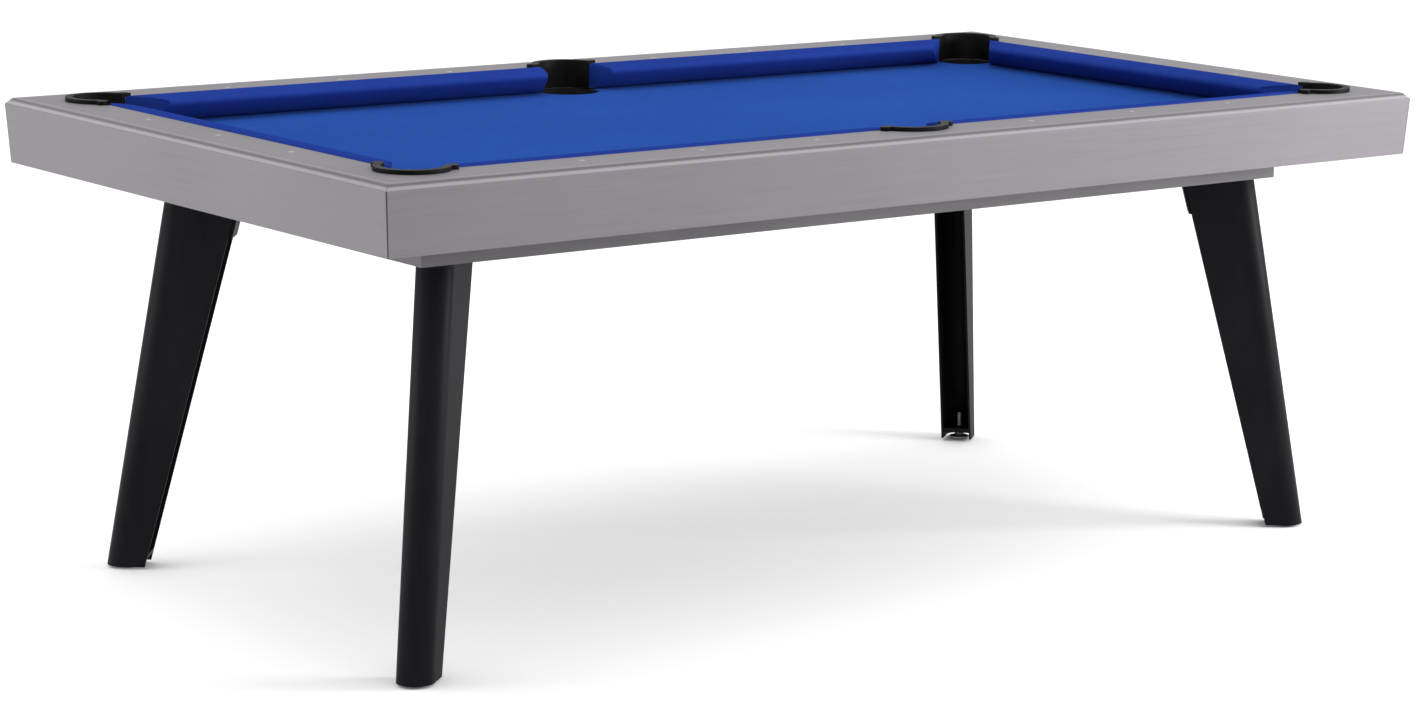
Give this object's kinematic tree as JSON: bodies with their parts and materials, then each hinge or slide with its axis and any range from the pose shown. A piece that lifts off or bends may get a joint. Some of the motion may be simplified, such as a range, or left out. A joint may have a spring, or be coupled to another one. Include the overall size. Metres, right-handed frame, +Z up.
{
  "type": "pool table",
  "caption": "Rectangular pool table with a slate bed, cloth-covered cushions, raised-rim drop pockets, a flat wooden cabinet and splayed steel channel legs with levelling feet.",
  "frame": {"origin": "on the floor under the middle of the table", "axes": "+X along the table, +Y across it, +Z up"},
  "size_m": [2.134, 1.21, 0.807],
  "materials": {
    "cabinet_laminate": "silver-grey satin laminate over wood board",
    "rail_laminate": "silver-grey satin laminate over wood",
    "base_frame": "grey painted wood",
    "cushion_cloth": "blue worsted cloth over rubber",
    "bed_cloth": "blue worsted cloth",
    "pocket_rubber": "black moulded rubber, satin",
    "pocket_plastic": "black moulded plastic",
    "slate": "ground slate",
    "leg_steel": "satin black powder coat",
    "zinc_steel": "zinc plated",
    "foot_steel": "plated steel",
    "sight": "pearl white"
  },
  "bodies": {
    "table": {"apron_brackets": "zinc_steel", "apron_far": "cabinet_laminate", "apron_left": "cabinet_laminate", "apron_near": "cabinet_laminate", "apron_right": "cabinet_laminate", "base_beam_far": "base_frame", "base_beam_left": "base_frame", "base_beam_near": "base_frame", "base_beam_right": "base_frame", "bed_cloth": "bed_cloth", "cross_beam_left": "base_frame", "cross_beam_middle": "base_frame", "cross_beam_right": "base_frame", "cushion_far_left": "cushion_cloth", "cushion_far_right": "cushion_cloth", "cushion_left": "cushion_cloth", "cushion_near_left": "cushion_cloth", "cushion_near_right": "cushion_cloth", "cushion_right": "cushion_cloth", "foot_plates": "leg_steel", "leg_blocks": "base_frame", "leg_bolts": "zinc_steel", "leg_bracket_far_left": "leg_steel", "leg_bracket_far_right": "leg_steel", "leg_bracket_near_left": "leg_steel", "leg_bracket_near_right": "leg_steel", "leg_far_left": "leg_steel", "leg_far_right": "leg_steel", "leg_near_left": "leg_steel", "leg_near_right": "leg_steel", "pocket_cup_far_left": "pocket_plastic", "pocket_cup_far_right": "pocket_plastic", "pocket_cup_far_side": "pocket_plastic", "pocket_cup_near_left": "pocket_plastic", "pocket_cup_near_right": "pocket_plastic", "pocket_cup_near_side": "pocket_plastic", "pocket_liner_far_left": "pocket_rubber", "pocket_liner_far_right": "pocket_rubber", "pocket_liner_far_side": "pocket_rubber", "pocket_liner_near_left": "pocket_rubber", "pocket_liner_near_right": "pocket_rubber", "pocket_liner_near_side": "pocket_rubber", "rail_bolts": "zinc_steel", "rail_cap_far_left": "rail_laminate", "rail_cap_far_right": "rail_laminate", "rail_cap_left": "rail_laminate", "rail_cap_near_left": "rail_laminate", "rail_cap_near_right": "rail_laminate", "rail_cap_right": "rail_laminate", "rail_sights": "sight", "slate_left": "slate", "slate_middle": "slate", "slate_right": "slate", "slate_screws": "zinc_steel"},
    "foot_far_left": {"levelling_foot_far_left": "foot_steel"},
    "foot_far_right": {"levelling_foot_far_right": "foot_steel"},
    "foot_near_left": {"levelling_foot_near_left": "foot_steel"},
    "foot_near_right": {"levelling_foot_near_right": "foot_steel"}
  },
  "joints": [
    {"name": "foot_turn_far_left", "type": "hinge", "parent": "table", "child": "foot_far_left", "pos_m": [-0.92949, 0.46006, 0], "axis": [0, 0, 1], "continuous": true},
    {"name": "foot_turn_far_right", "type": "hinge", "parent": "table", "child": "foot_far_right", "pos_m": [0.92949, 0.46006, 0], "axis": [0, 0, 1], "continuous": true},
    {"name": "foot_turn_near_left", "type": "hinge", "parent": "table", "child": "foot_near_left", "pos_m": [-0.92949, -0.46006, 0], "axis": [0, 0, 1], "continuous": true},
    {"name": "foot_turn_near_right", "type": "hinge", "parent": "table", "child": "foot_near_right", "pos_m": [0.92949, -0.46006, 0], "axis": [0, 0, 1], "continuous": true}
  ]
}
